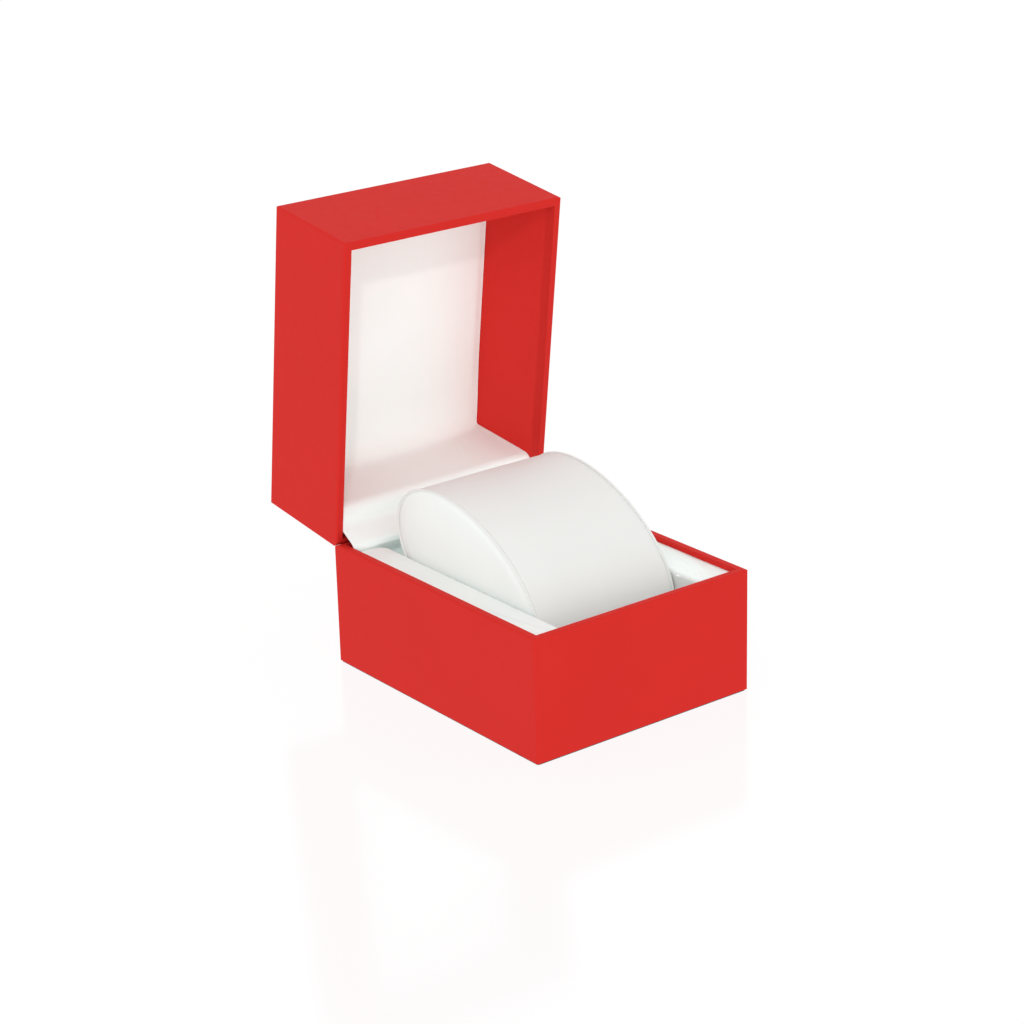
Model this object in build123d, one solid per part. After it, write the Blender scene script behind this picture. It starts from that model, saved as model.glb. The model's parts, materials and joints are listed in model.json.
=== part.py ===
"""Hinged presentation box with a removable oval cushion.

The origin is the middle of the base's underside: +X to the right, +Y to the hinge,
+Z up. The lid is modelled shut and then turned open about the hinge pin, so every
lid piece is drawn in the same upright coordinates as the base.
"""
import math
import os

from build123d import *

# ---- overall size (mm) ----
WIDTH = 82.5
DEPTH = 101.7
BASE_HEIGHT = 40.0
LID_HEIGHT = 37.4
RIM_GAP = 0.1             # between the two rims when the lid is shut
OPEN_ANGLE = 82.5         # lid against its stop

# ---- wall make-up ----
COVER = 0.4               # leatherette
BOARD = 1.7               # greyboard
LINER = 0.4               # leatherette turned in over the board
WALL = COVER + BOARD + LINER
TURN_IN = 4.0             # depth of the turned-in leatherette below each rim
UNDERSIDE_SHEET = 0.3
BOTTOM_TURN_IN = 8.0
CORNER_R = 0.8            # upright corners
RIM_R = 0.7               # rims at the front and sides
HINGE_RIM_R = 2.2         # rims at the hinge, rounded to let the lid roll open
EDGE_R = 0.7              # edges round the lid's top
FOOT_R = 0.5              # edges round the underside

# ---- hinge ----
HINGE_INSET = 1.25        # from the outer back face to the pin, in the middle of the wall
HINGE_Y = DEPTH / 2 - HINGE_INSET
HINGE_Z = BASE_HEIGHT
PIN_R = 0.6
PIN_CLEARANCE = 0.03      # in the lid's knuckles; the base's grip the pin
KNUCKLE_R = 1.1
KNUCKLE_COUNT = 5
KNUCKLE_LENGTH = 9.0
KNUCKLE_GAP = 0.15
GROOVE_R = 1.45           # notch in both rims, round the knuckles
GROOVE_MARGIN = 0.5
LEAF = 0.5
LEAF_HEIGHT = 13.0
LEAF_WEB = (0.45, 1.0)    # the web's near and far side, from the pin's level
TONGUE = 0.3
TONGUE_WIDTH = 7.0
TONGUE_BOTTOM = 29.0
TONGUE_TOP = HINGE_Z + 0.25
TONGUE_BEAD = 0.8
OUTER_STRIP_INSET = 3.0   # from the box's sides to the ends of the strip outside
RIVET_R = 0.8
RIVET_HEAD_R = 1.5
RIVET_HEAD = 0.4
RIVET_LENGTH = 1.3        # below the leaf, into the board
RIVET_X = 15.0
RIVET_RISE = 8.0          # from the rim

# ---- lid lining ----
PAD_CARD = 0.6
PAD_FOAM = 0.5
PAD_LINING = 0.4
HINGE_COVER_BOARD = 0.8
HINGE_COVER_STAND = 9.4   # from the lid's outer back face to the board
HINGE_COVER_RISE = 7.0    # from the rim to the board's near edge
FLAP = 0.5

# ---- base lining ----
PAD_TOP = BASE_HEIGHT - 2.3
PAD_INNER_X = 27.2
PAD_BACK_Y = 44.0
PAD_END_R = 4.0
LINING = 0.5
WELL_CARD = 0.6
REAR_CARD = 0.8
REAR_CARD_Y = 46.6
REAR_CARD_TOP = 36.0

# ---- cushion: an oval drum tipped up towards the hinge ----
CUSHION_LONG = 37.6       # half of the long axis
CUSHION_SHORT = 21.6      # half of the short axis
CUSHION_TILT = 22.6
CUSHION_Y = 1.5
CUSHION_Z = 38.2
CUSHION_HALF = 26.4       # half of its length, over the end covers
WRAP = 0.5
PADDING = 1.0
FORMER = 1.5
END_CARD = 1.2
END_COVER = 0.4
WELT = 0.9                # raised edge round each end
WELT_PROUD = 0.2
SEAT_GAP = 0.35
CRADLE_HALF = 26.0

# ---- derived ----
IN_X = WIDTH / 2 - WALL
IN_Y = DEPTH / 2 - WALL
BOARD_IN_X = WIDTH / 2 - COVER - BOARD
BOARD_IN_Y = DEPTH / 2 - COVER - BOARD
FLOOR_COVER_Z = UNDERSIDE_SHEET
BOARD_BOTTOM = UNDERSIDE_SHEET + COVER
WELL_FLOOR = BOARD_BOTTOM + BOARD
LID_RIM = BASE_HEIGHT + RIM_GAP
LID_TOP = BASE_HEIGHT + LID_HEIGHT
LID_CEILING = LID_TOP - COVER - BOARD
GROOVE_HALF = KNUCKLE_COUNT * KNUCKLE_LENGTH / 2 + GROOVE_MARGIN
HINGE_AXIS = Axis((0, HINGE_Y, HINGE_Z), (1, 0, 0))


def slab(x0, x1, y0, y1, z0, z1):
    """A box between two corners."""
    middle = Pos((x0 + x1) / 2, (y0 + y1) / 2, (z0 + z1) / 2)
    return middle * Box(x1 - x0, y1 - y0, z1 - z0)


def outline(a0, a1, b0, b1, radii):
    """A rectangle with its own radius at each corner, from the low corner anticlockwise."""
    face = Pos((a0 + a1) / 2, (b0 + b1) / 2) * Rectangle(a1 - a0, b1 - b0)
    corners = [(a0, b0), (a1, b0), (a1, b1), (a0, b1)]
    for corner, radius in zip(corners, radii):
        if radius > 0:
            nearest = face.vertices().sort_by_distance((*corner, 0))[0]
            face = fillet(nearest, radius)
    return face


def shell_block(inset, z0, z1, low_r, high_r):
    """The box's block, inset on every side. low_r and high_r are the (front, back, side)
    radii of its bottom and top edges, before the inset."""
    x, y = WIDTH / 2 - inset, DEPTH / 2 - inset
    low_f, low_b, low_s = [max(r - inset, 0.05) for r in low_r]
    high_f, high_b, high_s = [max(r - inset, 0.05) for r in high_r]
    plan = extrude(outline(-x, x, -y, y, [CORNER_R - inset] * 4), z1 + 1)
    side = Plane.YZ * outline(-y, y, z0, z1, (low_f, low_b, high_b, high_f))
    front = Plane.XZ * outline(-x, x, z0, z1, (low_s, low_s, high_s, high_s))
    return plan & extrude(side, x + 1, both=True) & extrude(front, y + 1, both=True)


def along_x(path, width, half):
    """A strip of sheet that follows a path in the YZ plane, across the box."""
    return extrude(Plane.YZ * trace(path, line_width=width), half, both=True)


def pin_cylinder(radius, x0, x1):
    """A cylinder on the hinge pin's line."""
    return Pos((x0 + x1) / 2, HINGE_Y, HINGE_Z) * Rot(0, 90, 0) * Cylinder(radius, x1 - x0)


def open_lid(shape):
    """Turns a piece of the shut lid to its open place."""
    return shape.rotate(HINGE_AXIS, -OPEN_ANGLE)


def lid_point(inward, up):
    """A point of the open lid, given from its outer back face and its rim's level."""
    turn = math.radians(OPEN_ANGLE)
    y, z = DEPTH / 2 - inward - HINGE_Y, up
    return (HINGE_Y + y * math.cos(turn) + z * math.sin(turn),
            HINGE_Z - y * math.sin(turn) + z * math.cos(turn))


def oval(grow):
    """The cushion's section, larger by grow all round."""
    section = Ellipse(CUSHION_LONG + grow, CUSHION_SHORT + grow)
    return Plane.YZ * (Pos(CUSHION_Y, CUSHION_Z) * Rot(0, 0, CUSHION_TILT) * section)


def drum(grow, x0, x1):
    """A length of the cushion's oval drum."""
    return Pos(x0, 0, 0) * extrude(oval(grow), x1 - x0)


def save(name, shape):
    export_step(shape, f"parts/{name}.step")


def walls(block, z0, z1):
    """Front, back, left and right boards, cut from the block that they fill."""
    far = max(WIDTH, DEPTH)
    return {
        "front_board": block & slab(-far, far, -far, -BOARD_IN_Y, z0, z1),
        "back_board": block & slab(-far, far, BOARD_IN_Y, far, z0, z1),
        "left_board": block & slab(-far, -BOARD_IN_X, -BOARD_IN_Y, BOARD_IN_Y, z0, z1),
        "right_board": block & slab(BOARD_IN_X, far, -BOARD_IN_Y, BOARD_IN_Y, z0, z1),
    }


def turned_in(z0, z1):
    """The leatherette folded over a rim and glued down inside, open at the hinge."""
    ring = slab(-BOARD_IN_X, BOARD_IN_X, -BOARD_IN_Y, BOARD_IN_Y, z0, z1)
    ring -= slab(-IN_X, IN_X, -IN_Y, IN_Y, z0, z1)
    return ring


def hinge_window(z0, z1):
    """Clears the turned-in leatherette behind a hinge leaf."""
    return slab(-GROOVE_HALF, GROOVE_HALF, IN_Y, BOARD_IN_Y, z0, z1)


def notch():
    """Room in both rims for the knuckles and the webs that reach in from them."""
    room = slab(-GROOVE_HALF, GROOVE_HALF, IN_Y - 1, HINGE_Y, HINGE_Z - GROOVE_R, HINGE_Z + GROOVE_R)
    return room + pin_cylinder(GROOVE_R, -GROOVE_HALF, GROOVE_HALF)


def rivet_places(rise):
    return [(-RIVET_X, rise), (RIVET_X, rise)]


def rivets(places, head_y):
    """Rivets through a leaf into the board behind it. head_y is the heads' free face."""
    group = []
    for x, z in places:
        head = Pos(x, head_y + RIVET_HEAD / 2, z) * Rot(90, 0, 0) * Cylinder(RIVET_HEAD_R, RIVET_HEAD)
        end_y = BOARD_IN_Y + RIVET_LENGTH
        shank = Pos(x, (head_y + end_y) / 2, z) * Rot(90, 0, 0) * Cylinder(RIVET_R, end_y - head_y)
        group.append(head + shank)
    return Compound(children=group)


def hinge_leaf(side, owned, bore):
    """One leaf. side is -1 for the base and +1 for the lid; owned are its knuckles."""
    y0 = BOARD_IN_Y - LEAF
    near, far = sorted((HINGE_Z + side * GROOVE_R, HINGE_Z + side * LEAF_HEIGHT))
    half = KNUCKLE_COUNT * KNUCKLE_LENGTH / 2
    leaf = slab(-half, half, y0, BOARD_IN_Y, near, far)
    web = sorted(HINGE_Z + side * rise for rise in LEAF_WEB)
    root = sorted((HINGE_Z + side * LEAF_WEB[0], HINGE_Z + side * GROOVE_R))
    for index in owned:
        x0 = -half + index * KNUCKLE_LENGTH + KNUCKLE_GAP
        x1 = -half + (index + 1) * KNUCKLE_LENGTH - KNUCKLE_GAP
        leaf += slab(x0, x1, y0, BOARD_IN_Y, *root)
        leaf += slab(x0, x1, y0, HINGE_Y, *web)
        leaf += pin_cylinder(KNUCKLE_R, x0, x1)
    return leaf - pin_cylinder(bore, -half, half)


def build_base():
    low, high = (FOOT_R,) * 3, (RIM_R, HINGE_RIM_R, RIM_R)
    outer = shell_block(0, FLOOR_COVER_Z, BASE_HEIGHT, low, high)
    core = shell_block(COVER, BOARD_BOTTOM, BASE_HEIGHT - COVER, low, high)

    under_x, under_y = WIDTH / 2 - BOTTOM_TURN_IN, DEPTH / 2 - BOTTOM_TURN_IN
    cover = outer - core
    cover -= slab(-IN_X, IN_X, -IN_Y, IN_Y, BASE_HEIGHT - 2 * COVER, BASE_HEIGHT + 1)
    cover -= slab(-under_x, under_x, -under_y, under_y, 0, BOARD_BOTTOM)
    cover += turned_in(BASE_HEIGHT - TURN_IN, BASE_HEIGHT - COVER)
    cover -= hinge_window(BASE_HEIGHT - TURN_IN, BASE_HEIGHT - COVER)
    save("base_cover", cover - notch())

    shank = rivets(rivet_places(HINGE_Z - RIVET_RISE) + [(0, HINGE_Z - RIVET_RISE)],
                   BOARD_IN_Y - LEAF - RIVET_HEAD)
    for name, board in walls(core, 0, BASE_HEIGHT).items():
        if name == "back_board":
            board = board - notch() - shank
        save(f"base_{name}", board)
    save("base_bottom_board", core & slab(-BOARD_IN_X, BOARD_IN_X, -BOARD_IN_Y, BOARD_IN_Y,
                                          0, WELL_FLOOR))
    foot_x, foot_y = WIDTH / 2 - FOOT_R, DEPTH / 2 - FOOT_R
    sheet = outline(-foot_x, foot_x, -foot_y, foot_y, [CORNER_R] * 4)
    save("base_underside_sheet", extrude(sheet, UNDERSIDE_SHEET))


def build_base_lining():
    inner_x = PAD_INNER_X + LINING
    for side, name in ((-1, "left"), (1, "right")):
        x0, x1 = sorted((side * PAD_INNER_X, side * IN_X))
        radii = (0, 0, PAD_END_R, 0) if side < 0 else (0, 0, 0, PAD_END_R)
        pad = extrude(outline(x0, x1, -IN_Y, PAD_BACK_Y, radii), PAD_TOP)
        pad &= slab(x0, x1, -IN_Y, PAD_BACK_Y, WELL_FLOOR, PAD_TOP)
        inner_edge = pad.edges().filter_by(Axis.Y).group_by(Axis.Z)[-1]
        inner_edge = inner_edge.sort_by(Axis.X)[-1 if side < 0 else 0]
        pad = fillet(inner_edge, LINING * 2)
        bx0, bx1 = sorted((side * inner_x, side * IN_X))
        block = slab(bx0, bx1, -IN_Y, PAD_BACK_Y - PAD_END_R, WELL_FLOOR, PAD_TOP - LINING)
        save(f"{name}_pad_block", block)
        save(f"{name}_pad_cover", pad - block)

    floor_z = WELL_FLOOR + LINING
    save("well_floor_lining", slab(-PAD_INNER_X, PAD_INNER_X, -IN_Y, REAR_CARD_Y, WELL_FLOOR, floor_z))
    card_y = -IN_Y + WELL_CARD
    card_top = PAD_TOP - LINING
    save("well_front_card", slab(-PAD_INNER_X, PAD_INNER_X, -IN_Y, card_y, floor_z, card_top))
    front = slab(-PAD_INNER_X, PAD_INNER_X, -IN_Y, card_y + LINING, floor_z, PAD_TOP)
    save("well_front_lining", front - slab(-PAD_INNER_X, PAD_INNER_X, -IN_Y, card_y, floor_z, card_top))
    save("well_rear_card", slab(-IN_X, IN_X, REAR_CARD_Y, REAR_CARD_Y + REAR_CARD,
                                WELL_FLOOR, REAR_CARD_TOP))

    points = [(-28, floor_z), (30, floor_z), (30, 31), (-28, 18.5)]
    block = extrude(Plane.YZ * make_face(Polyline(*points, close=True)), CRADLE_HALF, both=True)
    save("cushion_cradle", block - drum(SEAT_GAP, -CUSHION_HALF - 1, CUSHION_HALF + 1))


def build_lid():
    low, high = (RIM_R, HINGE_RIM_R, RIM_R), (EDGE_R,) * 3
    outer = shell_block(0, LID_RIM, LID_TOP, low, high)
    core = shell_block(COVER, LID_RIM + COVER, LID_TOP - COVER, low, high)

    cover = outer - core
    cover -= slab(-IN_X, IN_X, -IN_Y, IN_Y, LID_RIM - 1, LID_RIM + 2 * COVER)
    cover += turned_in(LID_RIM + COVER, LID_RIM + TURN_IN)
    cover -= hinge_window(LID_RIM + COVER, LID_RIM + TURN_IN)
    save("lid_cover", open_lid(cover - notch()))

    shank = rivets(rivet_places(HINGE_Z + RIVET_RISE), BOARD_IN_Y - LEAF - RIVET_HEAD)
    for name, board in walls(core, LID_RIM, LID_CEILING).items():
        if name == "back_board":
            board = board - notch() - shank
        save(f"lid_{name}", open_lid(board))
    save("lid_top_board", open_lid(core & slab(-WIDTH, WIDTH, -DEPTH, DEPTH, LID_CEILING, LID_TOP)))

    liner_z0 = LID_RIM + TURN_IN
    liner = slab(-BOARD_IN_X, BOARD_IN_X, -BOARD_IN_Y, BOARD_IN_Y, liner_z0, LID_CEILING)
    liner -= slab(-IN_X, IN_X, -IN_Y, DEPTH, liner_z0, LID_CEILING)
    save("lid_inner_liner", open_lid(liner))

    board_y = DEPTH / 2 - HINGE_COVER_STAND
    card_z = LID_CEILING - PAD_CARD
    foam_z = card_z - PAD_FOAM
    lining_z = foam_z - PAD_LINING
    front_y = board_y - HINGE_COVER_BOARD
    save("lid_pad_card", open_lid(slab(-IN_X, IN_X, -IN_Y, BOARD_IN_Y, card_z, LID_CEILING)))
    save("lid_pad_foam", open_lid(slab(-IN_X, IN_X, -IN_Y, front_y, foam_z, card_z)))
    save("lid_pad_lining", open_lid(slab(-IN_X, IN_X, -IN_Y, front_y, lining_z, foam_z)))
    cover_z = LID_RIM + HINGE_COVER_RISE
    save("hinge_cover_board", open_lid(slab(-IN_X, IN_X, front_y, board_y, cover_z, card_z)))


def build_hinge():
    lid_knuckles = range(0, KNUCKLE_COUNT, 2)
    base_knuckles = range(1, KNUCKLE_COUNT, 2)
    leaf_y = BOARD_IN_Y - LEAF

    tongue_half = TONGUE_WIDTH / 2
    tongue = slab(-tongue_half, tongue_half, leaf_y - TONGUE, leaf_y, TONGUE_BOTTOM, TONGUE_TOP)
    bead_y = HINGE_Y - KNUCKLE_R - PIN_CLEARANCE
    tongue += slab(-tongue_half, tongue_half, leaf_y - TONGUE, bead_y,
                   TONGUE_TOP - TONGUE_BEAD, TONGUE_TOP)
    leaf_rivets = rivets(rivet_places(HINGE_Z - RIVET_RISE), leaf_y - RIVET_HEAD)
    tongue_rivet = rivets([(0, HINGE_Z - RIVET_RISE)], leaf_y - TONGUE - RIVET_HEAD)
    save("hinge_spring_tongue", tongue - tongue_rivet)
    save("hinge_base_leaf", hinge_leaf(-1, base_knuckles, PIN_R) - leaf_rivets - tongue_rivet)
    save("base_leaf_rivets", Compound(children=leaf_rivets.solids() + tongue_rivet.solids()))

    lid_rivets = rivets(rivet_places(HINGE_Z + RIVET_RISE), leaf_y - RIVET_HEAD)
    save("hinge_lid_leaf", open_lid(hinge_leaf(1, lid_knuckles, PIN_R + PIN_CLEARANCE) - lid_rivets))
    save("lid_leaf_rivets", open_lid(lid_rivets))
    half = KNUCKLE_COUNT * KNUCKLE_LENGTH / 2
    save("hinge_pin", pin_cylinder(PIN_R, -half, half))

    # White lining from the well, over the hinge and along the lid's hinge cover board.
    flap_y = REAR_CARD_Y - FLAP / 2
    stand = HINGE_COVER_STAND + HINGE_COVER_BOARD + FLAP / 2
    end_up = LID_CEILING - PAD_CARD - PAD_FOAM - PAD_LINING - BASE_HEIGHT
    flap = FilletPolyline((flap_y, WELL_FLOOR + LINING), (flap_y, 34.6), (43.2, 40.3), (51.0, 45.2),
                          lid_point(stand, TURN_IN), lid_point(stand, end_up),
                          radius=[2.5, 2.0, 5.0, 2.0])
    save("hinge_flap_lining", along_x(flap, FLAP, IN_X - FLAP))

    # Red strip outside, glued to both backs and bent into the corner between them.
    off_back = COVER / 2
    bend_up = (HINGE_INSET + off_back) * math.tan(math.radians(OPEN_ANGLE) / 2)
    strip = FilletPolyline((DEPTH / 2 + off_back, 33.0), lid_point(-off_back, bend_up),
                           lid_point(-off_back, 8.0), radius=0.8)
    save("outer_hinge_cloth", along_x(strip, COVER, WIDTH / 2 - OUTER_STRIP_INSET))


def build_cushion():
    body_half = CUSHION_HALF - WELT_PROUD - END_COVER - END_CARD
    padding_grow = -WRAP
    former_grow = padding_grow - PADDING
    hollow_grow = former_grow - FORMER
    save("cushion_wrap", drum(0, -body_half, body_half) - drum(padding_grow, -body_half, body_half))
    save("cushion_padding",
         drum(padding_grow, -body_half, body_half) - drum(former_grow, -body_half, body_half))
    save("cushion_former",
         drum(former_grow, -body_half, body_half) - drum(hollow_grow, -body_half, body_half))
    card_end = body_half + END_CARD
    for side, name in ((-1, "left"), (1, "right")):
        card = drum(-WELT, body_half, card_end)
        cover = drum(0, body_half, CUSHION_HALF) - drum(-WELT, card_end + END_COVER, CUSHION_HALF)
        cover -= card
        if side < 0:
            card = mirror(card, Plane.YZ)
            cover = mirror(cover, Plane.YZ)
        save(f"cushion_{name}_end_card", card)
        save(f"cushion_{name}_end_cover", cover)


os.makedirs("parts", exist_ok=True)
build_base()
build_base_lining()
build_lid()
build_hinge()
build_cushion()
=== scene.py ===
"""A hinged, leatherette-covered box standing open, lined in white, with an oval drum cushion.

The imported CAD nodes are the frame. The soft pieces, which are the cushion, the pads, the
lid's lining with its flap and the outer hinge strip, are built here in the nodes' own space.
"""

import json
import math

import bpy
import numpy as np
from mathutils import Matrix, Vector


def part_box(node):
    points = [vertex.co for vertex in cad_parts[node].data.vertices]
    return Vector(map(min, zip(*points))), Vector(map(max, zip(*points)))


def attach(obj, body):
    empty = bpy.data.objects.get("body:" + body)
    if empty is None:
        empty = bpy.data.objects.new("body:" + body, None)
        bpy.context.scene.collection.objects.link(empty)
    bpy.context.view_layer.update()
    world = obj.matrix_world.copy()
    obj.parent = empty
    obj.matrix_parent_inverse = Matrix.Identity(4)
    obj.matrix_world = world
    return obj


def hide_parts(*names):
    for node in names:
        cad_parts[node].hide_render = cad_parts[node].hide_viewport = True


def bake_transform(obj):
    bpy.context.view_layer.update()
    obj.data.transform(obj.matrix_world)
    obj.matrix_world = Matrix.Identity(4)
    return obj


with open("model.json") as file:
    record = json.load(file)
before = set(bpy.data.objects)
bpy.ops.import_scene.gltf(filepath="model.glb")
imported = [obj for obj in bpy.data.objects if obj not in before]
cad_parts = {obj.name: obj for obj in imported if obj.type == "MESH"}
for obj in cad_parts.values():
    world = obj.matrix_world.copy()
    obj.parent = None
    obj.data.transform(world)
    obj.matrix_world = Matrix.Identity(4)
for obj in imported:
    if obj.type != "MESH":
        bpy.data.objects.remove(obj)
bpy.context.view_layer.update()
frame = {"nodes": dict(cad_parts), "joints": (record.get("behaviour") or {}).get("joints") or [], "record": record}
MM = 0.001

# ---- what the CAD says, in millimetres ----
node_slot = {s["node"]: s["material_slot"] for s in frame["record"]["subparts"]}
hinge = next(j for j in frame["joints"] if j["name"] == "lid_hinge")
HINGE_Y, HINGE_Z = (c / MM for c in hinge["pos_m"][1:])
OPEN = math.radians(hinge["range_deg"][1])


def edges(name):
    """A CAD node's lowest and highest corner, in millimetres."""
    low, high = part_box(name)
    return np.array(low) / MM, np.array(high) / MM


BACK_Y = edges("base_cover")[1][1]
drum_low, drum_high = edges("cushion_wrap")
CUSHION_HALF = edges("cushion_right_end_cover")[1][0]
END_CARD_FACE = edges("cushion_right_end_card")[1][0]
CUSHION_Y = (drum_low[1] + drum_high[1]) / 2
CUSHION_Z = (drum_low[2] + drum_high[2]) / 2
CUSHION_LONG, CUSHION_SHORT = 37.6, 21.6
CUSHION_TILT = math.radians(22.6)
REAR_CARD_Y = edges("well_rear_card")[0][1]
LINING_HALF = edges("lid_pad_lining")[1][0] - 0.15    # just clear of the red side walls


def lid_point(inward, up):
    """(y, z) of a point of the open lid, from its outer back face and its rim's level."""
    y = BACK_Y - inward - HINGE_Y
    return (HINGE_Y + y * math.cos(OPEN) + up * math.sin(OPEN),
            HINGE_Z - y * math.sin(OPEN) + up * math.cos(OPEN))


def in_lid(points):
    """How far points are in from the open lid's outer back face, and up from its rim."""
    y, z = points[..., 1] - HINGE_Y, points[..., 2] - HINGE_Z
    inward = BACK_Y - HINGE_Y - y * math.cos(OPEN) + z * math.sin(OPEN)
    return inward, y * math.sin(OPEN) + z * math.cos(OPEN)


# ---- meshes ----
def add_mesh(name, points, faces):
    """A smooth-shaded mesh object from points in millimetres."""
    mesh = bpy.data.meshes.new(name)
    mesh.from_pydata((np.asarray(points, float) * MM).tolist(), [], faces)
    mesh.validate()
    mesh.update()
    mesh.polygons.foreach_set("use_smooth", [True] * len(mesh.polygons))
    piece = bpy.data.objects.new(name, mesh)
    bpy.context.scene.collection.objects.link(piece)
    return piece


def grid_faces(rows, columns, closed=False):
    """Quads over rows x columns points; closed joins the last column to the first."""
    faces = []
    for i in range(rows - 1):
        for j in range(columns if closed else columns - 1):
            k = (j + 1) % columns
            a, b = i * columns, (i + 1) * columns
            faces.append((a + j, a + k, b + k, b + j))
    return faces


def bake_modifiers(piece):
    """Applies a piece's modifiers to its mesh."""
    bpy.context.view_layer.update()
    graph = bpy.context.evaluated_depsgraph_get()
    mesh = bpy.data.meshes.new_from_object(piece.evaluated_get(graph))
    piece.modifiers.clear()
    piece.data = mesh
    mesh.polygons.foreach_set("use_smooth", [True] * len(mesh.polygons))


def thicken(piece, thickness, offset=-1.0):
    """Gives a surface its sheet's thickness, in millimetres, as a closed form. Offset -1
    keeps the faces where they are and grows behind them; 0 grows to both sides."""
    solid = piece.modifiers.new("thickness", "SOLIDIFY")
    solid.thickness = thickness * MM
    solid.offset = offset
    solid.use_even_offset = True
    bake_modifiers(piece)


CLOTH_SCALE = 10.0     # cloth is solved ten times larger, where its solver is steady
CLOTH_STIFFNESS = 12
CLOTH_SHEAR = 6
CLOTH_BENDING = 0.5
CLOTH_MASS = 0.25


def settle(points, faces, pins, cap, pressure=0.0, gravity=0.0, frames=20):
    """Runs Blender's cloth on a form, pinned by weights from 0 to 1, and returns its settled
    points. Pressure pushes along the faces' normals. No point moves further than cap, in
    millimetres."""
    start = np.asarray(points, float)
    mesh = bpy.data.meshes.new("cloth")
    mesh.from_pydata((start * MM * CLOTH_SCALE).tolist(), [], faces)
    piece = bpy.data.objects.new("cloth", mesh)
    scene = bpy.context.scene
    scene.collection.objects.link(piece)
    group = piece.vertex_groups.new(name="pins")
    for index, weight in enumerate(pins):
        if weight > 0:
            group.add([index], float(weight), "REPLACE")
    cloth = piece.modifiers.new("cloth", "CLOTH")
    cloth.settings.quality = 6
    cloth.settings.mass = CLOTH_MASS
    cloth.settings.vertex_group_mass = "pins"
    cloth.settings.tension_stiffness = CLOTH_STIFFNESS
    cloth.settings.compression_stiffness = CLOTH_STIFFNESS
    cloth.settings.shear_stiffness = CLOTH_SHEAR
    cloth.settings.bending_stiffness = CLOTH_BENDING
    if pressure:
        cloth.settings.use_pressure = True
        cloth.settings.uniform_pressure_force = pressure
    cloth.settings.effector_weights.gravity = gravity
    cloth.collision_settings.use_collision = False
    cloth.point_cache.frame_start, cloth.point_cache.frame_end = 1, frames
    for number in range(1, frames + 1):
        scene.frame_set(number)
    graph = bpy.context.evaluated_depsgraph_get()
    settled = piece.evaluated_get(graph).data
    end = np.array([v.co for v in settled.vertices]) / MM / CLOTH_SCALE
    bpy.data.objects.remove(piece)
    bpy.data.meshes.remove(mesh)
    scene.frame_set(1)
    move = end - start
    size = np.linalg.norm(move, axis=1, keepdims=True)
    print("settled", round(float(size.max()), 3), "mm before the cap of", cap)
    size = np.maximum(size, 1e-9)
    return start + move / size * (cap * np.tanh(size / cap))


# ---- materials ----
class Shader:
    """A Principled material and short calls to add nodes to it."""

    def __init__(self, name, roughness, specular=0.5, metallic=0.0):
        self.material = bpy.data.materials.new(name)
        self.material.use_nodes = True
        self.tree = self.material.node_tree
        self.shader = self.tree.nodes["Principled BSDF"]
        self.set(self.shader, {"Roughness": roughness, "Specular IOR Level": specular,
                               "Metallic": metallic})
        self.place = self.add("ShaderNodeTexCoord").outputs["Object"]

    def set(self, node, values):
        for key, value in values.items():
            node.inputs[key].default_value = value

    def add(self, kind, links=None, **values):
        node = self.tree.nodes.new(kind)
        self.set(node, {k.replace("_", " "): v for k, v in values.items()})
        for socket, source in (links or {}).items():
            self.tree.links.new(source, node.inputs[socket])
        return node

    def stretched(self, scale):
        """The object's coordinates, scaled on each axis."""
        return self.add("ShaderNodeMapping", {"Vector": self.place}, Scale=scale).outputs["Vector"]

    def noise(self, per_mm, detail=2.0, place=None):
        node = self.add("ShaderNodeTexNoise", {"Vector": place or self.place},
                        Scale=per_mm / MM, Detail=detail, Roughness=0.55)
        return node.outputs["Fac"]

    def cells(self, per_mm):
        node = self.add("ShaderNodeTexVoronoi", {"Vector": self.place}, Scale=per_mm / MM)
        return node.outputs["Distance"]

    def spread(self, source, low, high):
        """Maps 0..1, a noise's middle stretch, to low..high."""
        node = self.add("ShaderNodeMapRange", {"Value": source})
        self.set(node, {"From Min": 0.3, "From Max": 0.7, "To Min": low, "To Max": high})
        return node.outputs["Result"]

    def colour(self, first, second, factor):
        """Base colour between two, by a noise."""
        node = self.tree.nodes.new("ShaderNodeMix")
        node.data_type = "RGBA"
        mix_factor, mix_first, mix_second = (node.inputs[i] for i in (0, 6, 7))
        self.tree.links.new(self.spread(factor, 0, 1), mix_factor)
        mix_first.default_value = (*first, 1)
        mix_second.default_value = (*second, 1)
        self.tree.links.new(node.outputs[2], self.shader.inputs["Base Color"])

    def roughness(self, factor, low, high):
        """Roughness between two values, by a noise."""
        self.tree.links.new(self.spread(factor, low, high), self.shader.inputs["Roughness"])

    def bump(self, *layers):
        """Layers of (height, depth in mm, strength), the coarsest first."""
        normal = None
        for height, depth, strength in layers:
            links = {"Height": height}
            if normal is not None:
                links["Normal"] = normal
            node = self.add("ShaderNodeBump", links, Strength=strength, Distance=depth * MM)
            normal = node.outputs["Normal"]
        self.tree.links.new(normal, self.shader.inputs["Normal"])


def tint(colour, factor):
    return tuple(min(1.0, c * factor) for c in colour)


def leatherette(name, colour, grain_mm, depth, specular):
    """Coated paper or cloth with a pressed grain of fine pebbles and shallow creases."""
    look = Shader(name, 0.5, specular)
    tone = look.noise(0.035, 3.0)
    pebbles = look.cells(1 / grain_mm)
    pores = look.noise(3.2 / grain_mm, 1.0)
    waves = look.noise(0.08, 2.0)
    look.colour(tint(colour, 0.985), tint(colour, 1.01), tone)
    look.roughness(look.noise(0.3, 3.0), 0.46, 0.54)
    look.bump((waves, 0.04, 0.04), (pebbles, depth, 0.25), (pores, depth / 3, 0.2))
    return look.material


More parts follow.
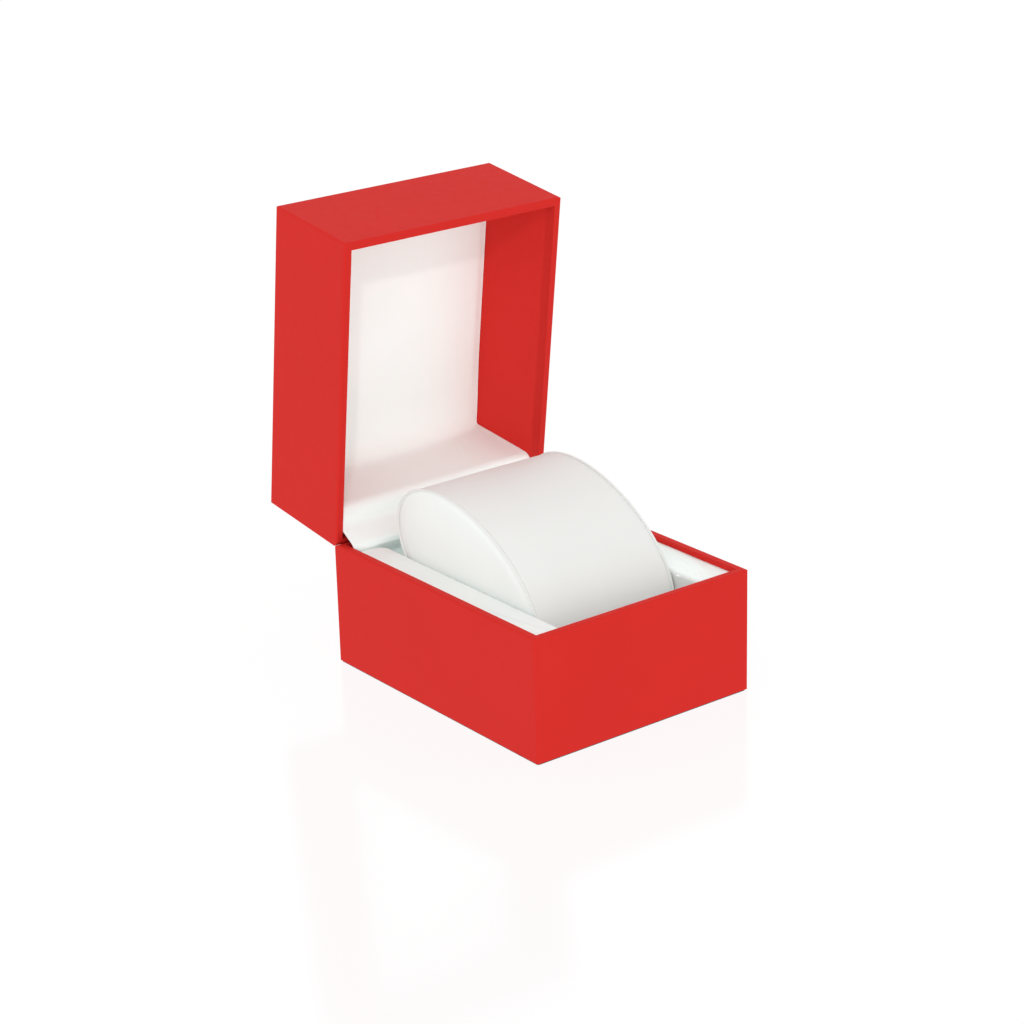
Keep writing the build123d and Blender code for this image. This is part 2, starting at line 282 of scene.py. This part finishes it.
def board(name, colour):
    """Greyboard or card: pressed fibre with flecks."""
    look = Shader(name, 0.85, 0.2)
    fibre = look.noise(1.5, 5.0, look.stretched((1, 1, 4)))
    look.colour(tint(colour, 0.86), tint(colour, 1.1), fibre)
    look.bump((fibre, 0.06, 0.5))
    return look.material


def foam(name, colour):
    """Cut foam with open cells."""
    look = Shader(name, 0.95, 0.1)
    bubbles = look.cells(1.8)
    look.colour(tint(colour, 0.86), tint(colour, 1.04), bubbles)
    look.bump((bubbles, 0.25, 0.6))
    return look.material


def steel(name, colour):
    """Rolled steel strip, brushed along its length."""
    look = Shader(name, 0.35, 0.5, 1.0)
    streaks = look.noise(1.2, 4.0, look.stretched((0.06, 1, 4)))
    look.colour(tint(colour, 0.9), tint(colour, 1.06), streaks)
    look.roughness(streaks, 0.26, 0.42)
    look.bump((streaks, 0.02, 0.4))
    return look.material


RED = (0.655, 0.0260, 0.0210)
WHITE = (0.838, 0.848, 0.828)
materials = {
    "red_leatherette": leatherette("red_leatherette", RED, 0.42, 0.014, 0.04),
    "white_leatherette": leatherette("white_leatherette", WHITE, 0.34, 0.006, 0.10),
    "foam": foam("foam", (0.74, 0.735, 0.71)),
    "greyboard": board("greyboard", (0.36, 0.345, 0.31)),
    "white_card": board("white_card", (0.72, 0.71, 0.68)),
    "base_paper": leatherette("base_paper", (0.05, 0.05, 0.05), 0.6, 0.01, 0.1),
    "steel": steel("steel", (0.62, 0.62, 0.63)),
}


def finish_piece(piece, slot, *replaced):
    """Gives a new piece its slot and material, and hides what it stands for."""
    piece.data.materials.clear()
    piece.data.materials.append(materials[slot])
    if replaced:
        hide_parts(*replaced)
    return piece


for name, node in frame["nodes"].items():
    node.data.materials.clear()
    node.data.materials.append(materials[node_slot[name]])


# ---- the cushion: a padded oval drum with a welt round each end ----
AROUND = 144           # points round the oval
WELT_R = 0.42
WELT_OUT = 0.12        # how far the welt's crest stands out from the oval
WELT_SIDES = 12
SEAM_IN = 0.95         # the wrap's edge, in from the cushion's end
END_IN = 0.42          # the end panel's face, in from the cushion's end
SEAM_SHRINK = -0.35    # the oval at the seam, where the welt pulls the lining in
SEAM_STEPS = [(0.0, SEAM_SHRINK), (0.35, -0.17), (0.9, -0.12)]    # (in from the edge, growth)
WRAP_GROW = -0.1
WRAP_ROWS = 34
WRAP_THICK = 0.3
END_THICK = 0.35
END_CLEAR = 0.12       # the end lining's gap over its card
# rings of the end panel, as shares of the oval's size
END_RINGS = [0.993, 0.97, 0.93, 0.85, 0.76, 0.66, 0.56, 0.46, 0.36, 0.26, 0.16, 0.07]


def oval(grow, turns):
    """(y, z) on the cushion's oval, larger by grow."""
    a = (CUSHION_LONG + grow) * np.cos(turns)
    b = (CUSHION_SHORT + grow) * np.sin(turns)
    c, s = math.cos(CUSHION_TILT), math.sin(CUSHION_TILT)
    return CUSHION_Y + a * c - b * s, CUSHION_Z + a * s + b * c


def even_turns(count):
    """Angles that space points evenly round the oval."""
    fine = np.linspace(0, 2 * math.pi, 2001)
    y, z = oval(0, fine)
    run = np.concatenate([[0], np.cumsum(np.hypot(np.diff(y), np.diff(z)))])
    return np.interp(np.arange(count) / count * run[-1], run, fine)


def ring_quads(lower, upper, outward):
    """Quads between two rings of AROUND points, given by their first indices."""
    quads = []
    for j in range(AROUND):
        k = (j + 1) % AROUND
        quad = (lower + j, lower + k, upper + k, upper + j)
        quads.append(quad if outward else quad[::-1])
    return quads


def end_panel(points, side, ring, turns):
    """Adds an end's rings and centre to points, and returns its first and last new index
    and its faces, which join the wrap's ring."""
    end_x = side * (CUSHION_HALF - END_IN)
    first = len(points)
    edge_y, edge_z = oval(SEAM_SHRINK, turns)
    for share in END_RINGS:
        points += [(end_x, CUSHION_Y + (y - CUSHION_Y) * share,
                    CUSHION_Z + (z - CUSHION_Z) * share) for y, z in zip(edge_y, edge_z)]
    points.append((end_x, CUSHION_Y, CUSHION_Z))
    centre = len(points) - 1
    outward = side > 0
    faces = ring_quads(ring, first, outward)
    for i in range(len(END_RINGS) - 1):
        faces += ring_quads(first + i * AROUND, first + (i + 1) * AROUND, outward)
    last = centre - AROUND
    for j in range(AROUND):
        tri = (last + j, last + (j + 1) % AROUND, centre)
        faces.append(tri if outward else tri[::-1])
    return first, centre, faces


def make_cushion():
    turns = even_turns(AROUND)
    seam = CUSHION_HALF - SEAM_IN
    left_x = [-seam + step for step, grow in SEAM_STEPS]
    right_x = [seam - step for step, grow in SEAM_STEPS[::-1]]
    wrap_x = [*left_x, *np.linspace(-seam + 2, seam - 2, WRAP_ROWS), *right_x]
    seam_grow = [grow for step, grow in SEAM_STEPS]
    wrap_grow = seam_grow + [WRAP_GROW] * WRAP_ROWS + seam_grow[::-1]
    points, rows = [], len(wrap_x)
    for x, grow in zip(wrap_x, wrap_grow):
        y, z = oval(grow, turns)
        points += [(x, a, b) for a, b in zip(y, z)]
    wrap_faces = grid_faces(rows, AROUND, closed=True)
    last_ring = (rows - 1) * AROUND
    faces = list(wrap_faces)
    panels = []
    for name, side, ring in (("left", -1, 0), ("right", 1, last_ring)):
        first, centre, made = end_panel(points, side, ring, turns)
        panels.append((name, side, ring, first, centre, made))
        faces += made
    points = np.array(points)
    pins = np.zeros(len(points))
    pins[:AROUND] = 1
    pins[last_ring:rows * AROUND] = 1
    settled = settle(points, faces, pins, cap=0.25, pressure=3.0)

    wrap = add_mesh("cushion_wrap_soft", settled[:rows * AROUND], wrap_faces)
    thicken(wrap, WRAP_THICK)
    finish_piece(wrap, "white_leatherette", "cushion_wrap")
    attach(wrap, "cushion")
    for name, side, ring, first, centre, made in panels:
        used = [*range(ring, ring + AROUND), *range(first, centre + 1)]
        place = {old: new for new, old in enumerate(used)}
        panel = settled[first:centre + 1]
        panel[:, 0] = side * np.maximum(np.abs(panel[:, 0]), END_CARD_FACE + END_CLEAR)
        end = add_mesh(f"cushion_{name}_end_soft", settled[used],
                       [tuple(place[v] for v in f) for f in made])
        thicken(end, END_THICK)
        finish_piece(end, "white_leatherette", f"cushion_{name}_end_cover")
        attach(end, "cushion")
        make_welt(name, side, turns)


def make_welt(name, side, turns):
    """The raised edge: lining rolled over a fine cord and sewn round the end."""
    x = side * (CUSHION_HALF - WELT_R)
    y, z = oval(WELT_OUT - WELT_R, turns)
    next_y, next_z = oval(WELT_OUT + 0.01 - WELT_R, turns)
    out = np.stack([next_y - y, next_z - z], 1)
    out /= np.linalg.norm(out, axis=1, keepdims=True)
    points = []
    for i in range(AROUND):
        for t in (2 * math.pi * j / WELT_SIDES for j in range(WELT_SIDES)):
            points.append((x + WELT_R * math.sin(t), y[i] + out[i, 0] * WELT_R * math.cos(t),
                           z[i] + out[i, 1] * WELT_R * math.cos(t)))
    faces = []
    for i in range(AROUND):
        a, b = i * WELT_SIDES, (i + 1) % AROUND * WELT_SIDES
        for j in range(WELT_SIDES):
            k = (j + 1) % WELT_SIDES
            faces.append((a + j, a + k, b + k, b + j))
    welt = add_mesh(f"cushion_{name}_welt", points, faces)
    finish_piece(welt, "white_leatherette")
    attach(welt, "cushion")


# ---- the two pads beside the cushion ----
PAD_END_R = 4.0        # the pad's back inner corner, in plan
PAD_EDGE_R = 1.1       # the roll over its top inner edge
PAD_STEP = 1.0
PAD_THICK = 0.5


def make_pads():
    (x0, y0, z0), (x1, y1, z1) = edges("right_pad_cover")
    side_steps = int((y1 - y0) / PAD_STEP)
    # plan outline from the wall's back end, round the back corner, to the front
    outline = [(x, y1) for x in np.linspace(x1, x0 + PAD_END_R, 8)[:-1]]
    outline += [(x0 + PAD_END_R * (1 - math.sin(t)), y1 - PAD_END_R * (1 - math.cos(t)))
                for t in np.linspace(0, math.pi / 2, 8)]
    outline += [(x0, y) for y in np.linspace(y1 - PAD_END_R, y0, side_steps)[1:]]
    outline = np.array(outline)
    columns = len(outline)
    # each outline point's partner on the box's wall
    wall = np.array([(x1, max(y0, y)) for x, y in outline])
    back_part = columns - side_steps + 1
    wall[:back_part, 1] = np.linspace(y1 - 0.02, y1 - PAD_END_R, back_part)
    inward = wall - outline
    reach = np.linalg.norm(inward, axis=1, keepdims=True)
    inward = inward / np.maximum(reach, 1e-6)
    # rows climb the inner side, roll over its edge and cross the top to the wall
    rows = []
    for z in np.linspace(z0, z1 - PAD_EDGE_R, 16):
        rows.append(np.column_stack([outline, np.full(columns, z)]))
    for t in np.linspace(0, math.pi / 2, 6)[1:]:
        shift = np.minimum(PAD_EDGE_R * (1 - math.cos(t)), reach * 0.9)
        level = z1 - PAD_EDGE_R * (1 - math.sin(t))
        rows.append(np.column_stack([outline + inward * shift, np.full(columns, level)]))
    start = outline + inward * np.minimum(PAD_EDGE_R, reach * 0.9)
    for share in np.linspace(0, 1, 14)[1:]:
        rows.append(np.column_stack([start + (wall - start) * share, np.full(columns, z1)]))
    points = np.concatenate(rows)
    faces = [f[::-1] for f in grid_faces(len(rows), columns)]
    pins = np.zeros((len(rows), columns))
    pins[0] = 1
    pins[-1] = 1
    pins[:, -1] = 1
    pins[:, 0] = np.maximum(pins[:, 0], 0.4)
    settled = settle(points, faces, pins.ravel(), cap=0.2, pressure=2.5)
    for name, side in (("left", -1), ("right", 1)):
        pad = add_mesh(f"{name}_pad_soft", settled * (side, 1, 1), [f[::side] for f in faces])
        thicken(pad, PAD_THICK)
        finish_piece(pad, "white_leatherette", f"{name}_pad_cover")
        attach(pad, "base")


# ---- the lid's lining: ceiling, soft inner corner, hinge side and the flap into the base ----
def rounded_path(corners, radii, straight, bend):
    """Points along a line through corners, each rounded by its radius. Straight run i gets
    straight[i] steps and every bend gets bend steps, whatever the radii."""
    corners = [np.array(c, float) for c in corners]
    bends = []             # (where the bend starts, its corner, where it ends)
    for before, here, after, radius in zip(corners, corners[1:], corners[2:], radii):
        a = (before - here) / np.linalg.norm(before - here)
        b = (after - here) / np.linalg.norm(after - here)
        half = math.acos(max(-1, min(1, float(a @ b)))) / 2
        reach = radius / math.tan(half)
        bends.append((here + a * reach, here, here + b * reach))
    path = []
    start = corners[0]
    for (first, corner, last), count in zip(bends, straight):
        path += [start + (first - start) * t for t in np.linspace(0, 1, count, endpoint=False)]
        for t in np.linspace(0, 1, bend, endpoint=False):
            path.append(first * (1 - t) ** 2 + corner * 2 * t * (1 - t) + last * t ** 2)
        start = last
    end = corners[-1]
    path += [start + (end - start) * t for t in np.linspace(0, 1, straight[-1], endpoint=False)]
    path.append(end)
    return np.array(path)


def smooth_step(t):
    t = np.clip(t, 0, 1)
    return t * t * (3 - 2 * t)


CEILING_UP = 33.55         # the ceiling lining's face, above the lid's rim
LINING = 0.4               # its thickness
COVER_BOARD_FACE = 10.2    # from the lid's outer back face
COVER_BOARD_UP = (6, 34.5)    # the heights over which the lining is kept off that board
LINING_COLUMNS = 60
LINING_FAR = BACK_Y * 2 - 2.75    # the lining's front edge, from the lid's outer back face
CROWN_EDGE = 3.2           # the ceiling's padding falls away over this
CROWN_FALL = 0.7


def lining_corners():
    """The lining's section, (y, z): up the card, over the hinge, up the board, the ceiling."""
    card = REAR_CARD_Y - 0.3
    return [(card, 3.2), (card, 34.4), (43.2, 40.4), (51.0, 45.2), lid_point(11.3, 4.6),
            lid_point(10.9, CEILING_UP), lid_point(LINING_FAR, CEILING_UP)]


def keep_off_cover_board(points):
    """Lifts the lining's points onto the face of the board along the hinge."""
    inward, up = in_lid(points)
    beside = (up > COVER_BOARD_UP[0]) & (up < COVER_BOARD_UP[1])
    lift = np.where(beside, np.maximum(COVER_BOARD_FACE + LINING + 0.05 - inward, 0), 0)
    points[:, 1] -= lift * math.cos(OPEN)
    points[:, 2] += lift * math.sin(OPEN)


def make_lid_lining():
    rows = []
    for turn in np.linspace(-math.pi / 2, math.pi / 2, LINING_COLUMNS):
        x = LINING_HALF * math.sin(turn)
        # the inner corner is tight at the side walls and slack in the middle
        corner_r = 1.2 + 9.0 * (1 - math.exp(-(LINING_HALF - abs(x)) / 13))
        path = rounded_path(lining_corners(), [2.6, 1.9, 5.0, 5.0, corner_r],
                            [8, 4, 5, 3, 12, 46], 11)
        rows.append(np.column_stack([np.full(len(path), x), path]))
    rows = np.array(rows)
    # the ceiling is padded: it is crowned, and falls away at its edges
    inward, up = in_lid(rows)
    from_side = LINING_HALF - np.abs(rows[..., 0])
    from_front = LINING_FAR - inward
    ceiling = smooth_step((inward - 12) / 26) * smooth_step((up - CEILING_UP + 2) / 1.8)
    crown = smooth_step(from_side / CROWN_EDGE) * smooth_step(from_front / CROWN_EDGE)
    fall = (1 - crown) * CROWN_FALL * ceiling
    rows[..., 1] += fall * math.sin(OPEN)
    rows[..., 2] += fall * math.cos(OPEN)
    points = rows.reshape(-1, 3)
    faces = grid_faces(LINING_COLUMNS, rows.shape[1])
    in_base = 1 - smooth_step((rows[..., 2] - 33) / 4)
    at_side = 1 - smooth_step(from_side / 1.5) * 0.9
    fixed = np.maximum(np.maximum(ceiling, in_base), at_side)
    settled = settle(points, faces, fixed.ravel(), cap=0.35, gravity=0.4, frames=15)
    keep_off_cover_board(settled)
    lining = add_mesh("lid_lining_soft", settled, [f[::-1] for f in faces])
    thicken(lining, LINING)
    finish_piece(lining, "white_leatherette", "lid_pad_lining", "hinge_flap_lining", "lid_pad_foam")
    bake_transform(lining)


# ---- the red strip outside the hinge ----
STRIP_COLUMNS = 70
STRIP_OFF = 0.13           # the strip's middle, out from the box's back
STRIP_THICK = 0.24
STRIP_LOW, STRIP_HIGH = 33.0, 8.0    # its edges: the base's height, and up the lid
STRIP_BEND_R = 1.0
STRIP_WAVE = 0.15          # how much the bend's radius wanders


def make_hinge_strip():
    half = edges("outer_hinge_cloth")[1][0]
    rng = np.random.default_rng(7)
    walk = np.cumsum(rng.normal(0, 1, STRIP_COLUMNS))
    walk -= np.linspace(walk[0], walk[-1], STRIP_COLUMNS)
    ripple = np.convolve(walk, np.ones(9) / 9, "same")
    ripple = ripple / np.abs(ripple).max()
    bend_up = (BACK_Y + STRIP_OFF - HINGE_Y) * math.tan(OPEN / 2)
    corners = [(BACK_Y + STRIP_OFF, STRIP_LOW), lid_point(-STRIP_OFF, bend_up),
               lid_point(-STRIP_OFF, STRIP_HIGH)]
    rows = []
    for x, wave in zip(np.linspace(-half, half, STRIP_COLUMNS), ripple):
        path = rounded_path(corners, [STRIP_BEND_R + STRIP_WAVE * wave], [14, 14], 14)
        rows.append(np.column_stack([np.full(len(path), x), path]))
    rows = np.array(rows)
    strip = add_mesh("outer_hinge_strip", rows.reshape(-1, 3),
                     grid_faces(STRIP_COLUMNS, rows.shape[1]))
    thicken(strip, STRIP_THICK, offset=0.0)
    finish_piece(strip, "red_leatherette", "outer_hinge_cloth")
    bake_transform(strip)


make_cushion()
make_pads()
make_lid_lining()
make_hinge_strip()


# ---- camera, at the photograph's angle ----
CAMERA_ANGLES = (-37.2638, 20.509, -1.5432)    # round the box, up, and tilt, in degrees
CAMERA_PLACE = (-0.48944, -0.630853, 0.353475)
CAMERA_LENS = 97.852


def make_camera():
    yaw, pitch, roll = (math.radians(a) for a in CAMERA_ANGLES)
    back = np.array([math.sin(yaw) * math.cos(pitch), -math.cos(yaw) * math.cos(pitch),
                     math.sin(pitch)])
    right = np.cross(-back, (0, 0, 1))
    right /= np.linalg.norm(right)
    up = np.cross(right, -back)
    turned_right = math.cos(roll) * right + math.sin(roll) * up
    turned_up = -math.sin(roll) * right + math.cos(roll) * up
    camera = bpy.data.objects.new("camera", bpy.data.cameras.new("camera"))
    camera.data.sensor_width = 36
    camera.data.lens = CAMERA_LENS
    camera.data.clip_start, camera.data.clip_end = 0.01, 20
    place = Matrix.Identity(4)
    for i in range(3):
        place[i][0], place[i][1], place[i][2] = turned_right[i], turned_up[i], back[i]
    place.translation = CAMERA_PLACE
    camera.matrix_world = place
    bpy.context.scene.collection.objects.link(camera)
    bpy.context.scene.camera = camera


# ---- studio: white all round, a small key light from the camera's side, weak fills ----
AROUND_LIGHT = 0.92         # the white surroundings
KEY = 0.45
KEY_SPREAD = math.radians(2.5)
COOL = (0.74, 1.0, 0.99)    # the fills' colour, against the red thrown back on the lining
WELL_FILL, PAD_FILL = 0.85, 0.75
WELL_PIECES = ["lid_inner_liner", "left_pad_soft", "cushion_left_end_soft",
               "cushion_right_end_soft", "well_front_lining", "well_floor_lining"]
LID_FILL_WATTS, LID_FILL_SIZE = 0.23, 0.2
LID_PIECES = ["lid_lining_soft", "lid_inner_liner"]
FLOOR_HALF = 4000
FLOOR_GLOW = 1.03
FLOOR_GLOSS, FLOOR_GLOSS_ROUGH = 0.07, 0.12
FLOOR_SHADOW = 0.06         # the part of the floor that takes shadows


def aim(towards):
    """Rotation that points a light along a direction."""
    return Vector(towards).to_track_quat("-Z", "Y").to_euler()


def add_light(name, kind, place, towards, strength, only=None, **settings):
    """A light; only keeps it on the named pieces."""
    data = bpy.data.lights.new(name, kind)
    data.energy = strength
    for key, value in settings.items():
        setattr(data, key, value)
    light = bpy.data.objects.new(name, data)
    light.location = place
    light.rotation_euler = aim(towards)
    bpy.context.scene.collection.objects.link(light)
    if only:
        lit = bpy.data.collections.new(name)
        for piece in only:
            lit.objects.link(bpy.data.objects[piece])
        light.light_linking.receiver_collection = lit
    return light


def floor_paper():
    """White paper that glows to the background's white, with a faint gloss and shadow."""
    paper = bpy.data.materials.new("floor")
    paper.use_nodes = True
    tree = paper.node_tree
    tree.nodes.clear()
    glow = tree.nodes.new("ShaderNodeEmission")
    glow.inputs["Strength"].default_value = FLOOR_GLOW
    diffuse = tree.nodes.new("ShaderNodeBsdfDiffuse")
    diffuse.inputs["Color"].default_value = (1, 1, 1, 1)
    gloss = tree.nodes.new("ShaderNodeBsdfGlossy")
    gloss.inputs["Roughness"].default_value = FLOOR_GLOSS_ROUGH
    lit = glow.outputs[0]
    for share, layer in ((FLOOR_SHADOW, diffuse), (FLOOR_GLOSS, gloss)):
        mixed = tree.nodes.new("ShaderNodeMixShader")
        mixed.inputs[0].default_value = share
        tree.links.new(lit, mixed.inputs[1])
        tree.links.new(layer.outputs[0], mixed.inputs[2])
        lit = mixed.outputs[0]
    out = tree.nodes.new("ShaderNodeOutputMaterial")
    tree.links.new(lit, out.inputs[0])
    return paper


def make_floor():
    half = FLOOR_HALF
    floor = add_mesh("floor", [(-half, -half, 0), (half, -half, 0), (half, half, 0),
                               (-half, half, 0)], [(0, 1, 2, 3)])
    floor.data.materials.append(floor_paper())


def make_studio():
    scene = bpy.context.scene
    scene.view_settings.view_transform = "Standard"
    scene.view_settings.look = "None"
    world = bpy.data.worlds.new("studio")
    scene.world = world
    world.use_nodes = True
    around = world.node_tree.nodes["Background"]
    around.inputs["Color"].default_value = (1, 1, 1, 1)
    around.inputs["Strength"].default_value = AROUND_LIGHT
    add_light("key", "SUN", (-0.6, -0.8, 0.6), (0.54, 0.708, -0.457), KEY, angle=KEY_SPREAD)
    add_light("well_fill", "SUN", (-0.5, -0.9, 0.5), (0.45, 0.83, -0.33), WELL_FILL,
              only=WELL_PIECES, color=COOL, use_shadow=False)
    add_light("right_pad_fill", "SUN", (0.2, -0.4, 0.8), (0.1, 0.2, -0.97), PAD_FILL,
              only=["right_pad_soft"], color=COOL, use_shadow=False)
    lid_fill = add_light("lid_fill", "AREA", (0.075, -0.12, 0.11), (0, 0.99, 0.0),
                         LID_FILL_WATTS, only=LID_PIECES, shape="SQUARE", size=LID_FILL_SIZE,
                         color=COOL, use_shadow=False)
    lid_fill.visible_camera = False
    lid_fill.visible_glossy = False
    make_floor()


make_camera()
make_studio()
